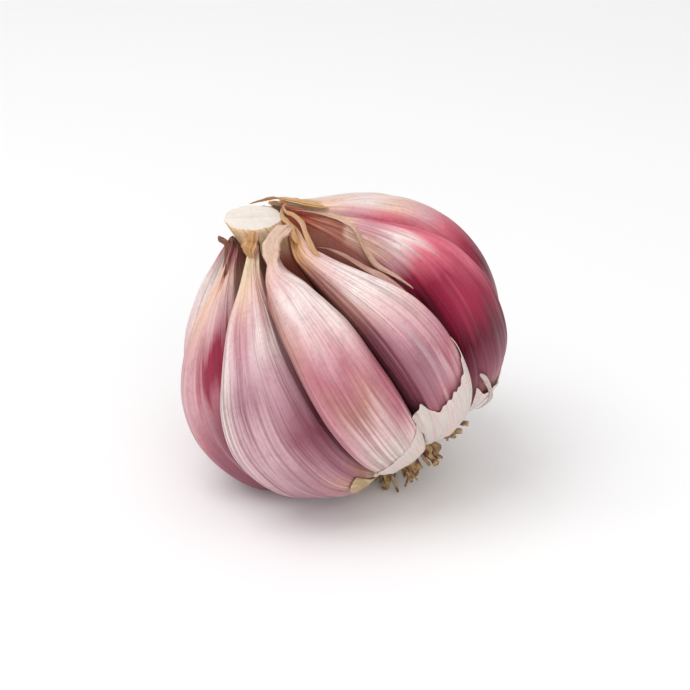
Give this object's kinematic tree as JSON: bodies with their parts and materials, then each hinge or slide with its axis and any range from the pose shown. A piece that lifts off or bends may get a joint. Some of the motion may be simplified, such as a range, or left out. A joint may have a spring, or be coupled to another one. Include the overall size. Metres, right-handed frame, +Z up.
{
  "type": "garlic bulb",
  "caption": "Hardneck garlic bulb lying on its side: plump pink and crimson cloves round a cut stalk, with dried tails, scraps of papery skin and trimmed roots.",
  "frame": {"origin": "on the table, under the middle of the bulb's outline", "axes": "+Z up, -Y towards the camera of the picture, -X the way the stalk leans"},
  "size_m": [0.0544, 0.0562, 0.0499],
  "materials": {
    "clove_skin": "satin clove skin, pale pink to mauve with fine purple veins running lengthwise",
    "crimson_skin": "satin clove skin, deep crimson with a paler pink sheen",
    "stalk": "dry, off-white, fibrous cut end",
    "root_plate": "dry, matt, light brown",
    "roots": "dry, matt, golden brown",
    "base_skin": "thin white papery skin with torn edges",
    "neck_skin": "dried tan skin, crinkled"
  },
  "bodies": {
    "root": {"clove_1": "clove_skin", "clove_2": "clove_skin", "clove_3": "clove_skin", "clove_4": "clove_skin", "clove_5": "crimson_skin", "clove_6": "clove_skin", "clove_7": "clove_skin", "clove_8": "crimson_skin", "clove_9": "clove_skin", "clove_10": "clove_skin", "flower_stalk": "stalk", "root_plate": "root_plate", "base_skin_front_left": "base_skin", "base_skin_front": "base_skin", "base_skin_right": "base_skin", "base_skin_far_right": "base_skin", "base_skin_back": "base_skin", "base_skin_back_left": "base_skin", "neck_skin_right": "neck_skin", "neck_skin_back": "neck_skin", "neck_skin_far": "neck_skin", "root_tuft_1": "roots", "root_tuft_2": "roots", "root_tuft_3": "roots", "root_tuft_4": "roots", "root_tuft_5": "roots", "root_tuft_6": "roots", "root_tuft_7": "roots", "root_tuft_8": "roots", "root_tuft_9": "roots", "root_tuft_10": "roots", "root_tuft_11": "roots", "root_tuft_12": "roots", "root_tuft_13": "roots", "root_tuft_14": "roots", "root_tuft_15": "roots", "root_tuft_16": "roots", "root_tuft_17": "roots"}
  },
  "joints": []
}
